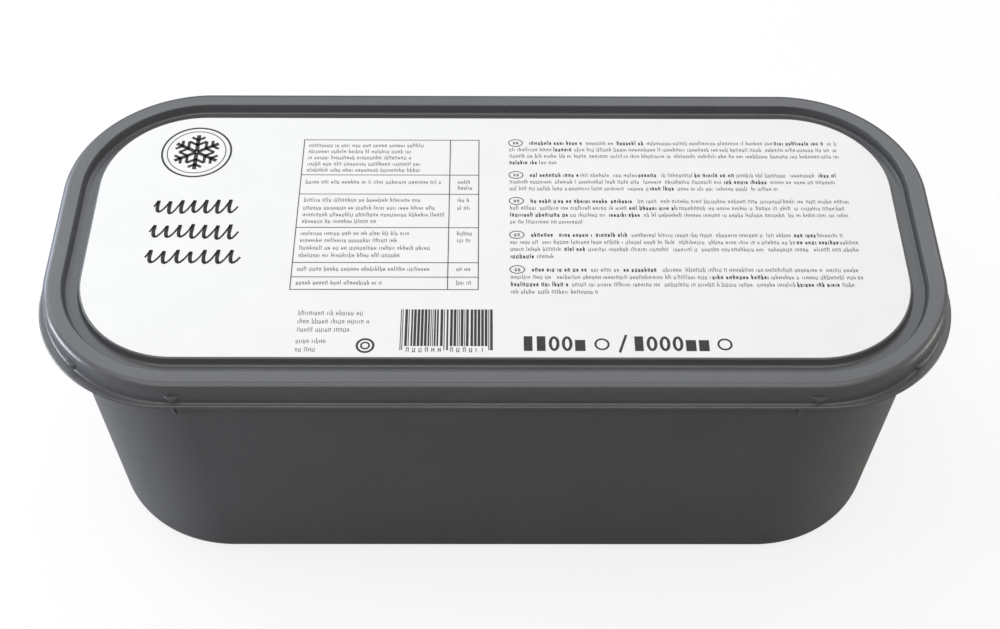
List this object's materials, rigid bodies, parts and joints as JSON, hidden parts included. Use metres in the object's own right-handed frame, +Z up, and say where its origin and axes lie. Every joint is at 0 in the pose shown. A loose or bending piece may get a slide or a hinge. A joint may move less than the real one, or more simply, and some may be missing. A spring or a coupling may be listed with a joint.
{
  "type": "ice cream tub",
  "caption": "Long rounded plastic ice cream tub, full and shut, with a press-on lid whose raised panel carries a white label.",
  "frame": {"origin": "middle of the base, on the surface the tub stands on", "axes": "+X along the tub's length, +Y across it to the back, +Z up through the lid"},
  "size_m": [0.36, 0.165, 0.13],
  "materials": {
    "tub_plastic": "semi-gloss anthracite grey moulded polypropylene",
    "lid_plastic": "semi-gloss anthracite grey moulded polypropylene",
    "label_film": "smooth white label, printed in black"
  },
  "bodies": {
    "root": {"tub": "tub_plastic", "lid": "lid_plastic", "label": "label_film"}
  },
  "joints": []
}
